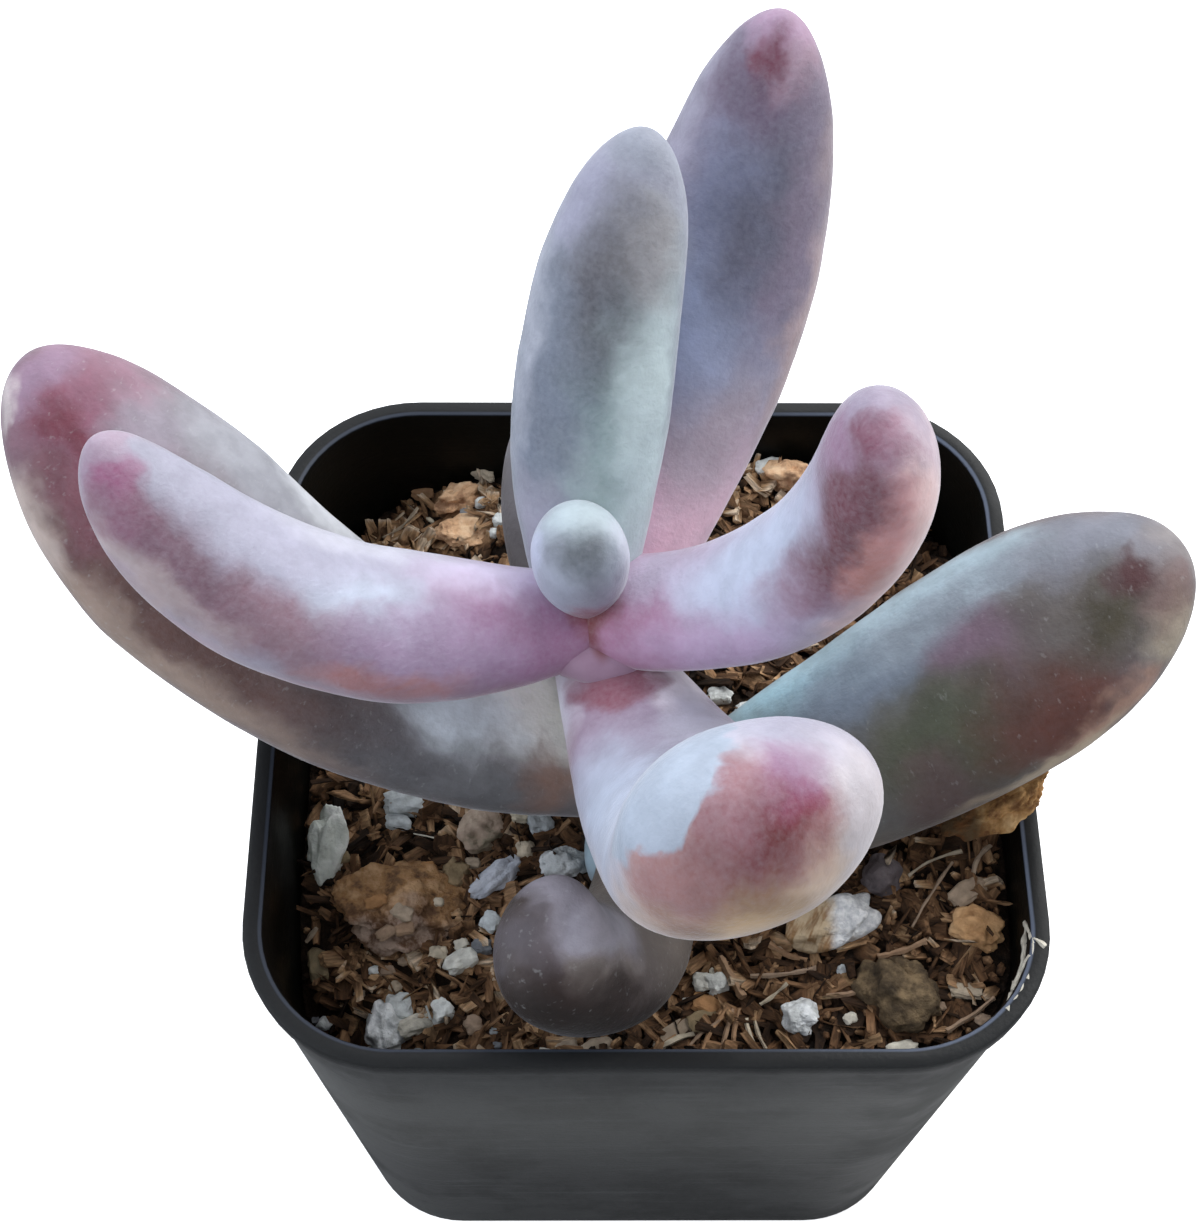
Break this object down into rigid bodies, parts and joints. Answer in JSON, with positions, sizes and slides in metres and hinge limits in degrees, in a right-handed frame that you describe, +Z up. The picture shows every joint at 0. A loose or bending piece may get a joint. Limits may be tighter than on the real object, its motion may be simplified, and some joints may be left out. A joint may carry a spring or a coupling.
{
  "type": "potted pachysedum",
  "caption": "Small succulent with plump, curving, powdery leaves on a short stem, in a square black nursery pot filled with a gritty bark mix.",
  "frame": {"origin": "middle of the pot's base, on the surface it stands on", "axes": "+Z up, +X to the right as seen from the front, +Y towards the tall leaves at the back"},
  "size_m": [0.0792, 0.0585, 0.0879],
  "materials": {
    "pot_plastic": "satin black plastic with scuffs and dust",
    "soil_mix": "damp dark coir and fine bark",
    "stem_skin": "matte green-brown skin",
    "leaf_bud_flesh": "powdery bloom over plump translucent flesh, with pink and magenta blush",
    "leaf_left_high_flesh": "powdery bloom over plump translucent flesh, with pink and magenta blush",
    "leaf_right_high_flesh": "powdery bloom over plump translucent flesh, with pink and magenta blush",
    "leaf_front_flesh": "powdery bloom over plump translucent flesh, with pink and magenta blush",
    "leaf_back_middle_flesh": "powdery bloom over plump translucent flesh, with pink and magenta blush",
    "leaf_back_tall_flesh": "powdery bloom over plump translucent flesh, with pink and magenta blush",
    "leaf_back_low_flesh": "powdery bloom over plump translucent flesh, with pink and magenta blush",
    "leaf_left_low_flesh": "powdery bloom over plump translucent flesh, with pink and magenta blush",
    "leaf_right_low_flesh": "powdery bloom over plump translucent flesh, with pink and magenta blush",
    "leaf_front_low_flesh": "powdery bloom over plump translucent flesh, with pink and magenta blush",
    "bark_orange": "rough orange-brown bark",
    "bark_brown": "rough dark bark",
    "perlite": "chalky white, pitted",
    "stone_pale": "rough pale stone with a rusty half",
    "stone_grey": "rough dark grey stone"
  },
  "bodies": {
    "root": {"pot": "pot_plastic", "soil": "soil_mix", "stem": "stem_skin", "leaf_bud": "leaf_bud_flesh", "leaf_left_high": "leaf_left_high_flesh", "leaf_right_high": "leaf_right_high_flesh", "leaf_front": "leaf_front_flesh", "leaf_back_middle": "leaf_back_middle_flesh", "leaf_back_tall": "leaf_back_tall_flesh", "leaf_back_low": "leaf_back_low_flesh", "leaf_left_low": "leaf_left_low_flesh", "leaf_right_low": "leaf_right_low_flesh", "leaf_front_low": "leaf_front_low_flesh", "bark_left": "bark_orange", "bark_front_right": "bark_brown", "bark_over_rim": "bark_orange", "bark_right": "bark_orange", "bark_back_left": "bark_orange", "bark_back_edge": "bark_orange", "bark_back_right": "bark_orange", "stone_pale": "stone_pale", "stone_grey": "stone_grey", "perlite_front_right": "perlite", "perlite_left_wall": "perlite", "perlite_left_block": "perlite", "perlite_left_long": "perlite", "perlite_middle": "perlite", "perlite_front_left": "perlite"}
  },
  "joints": []
}
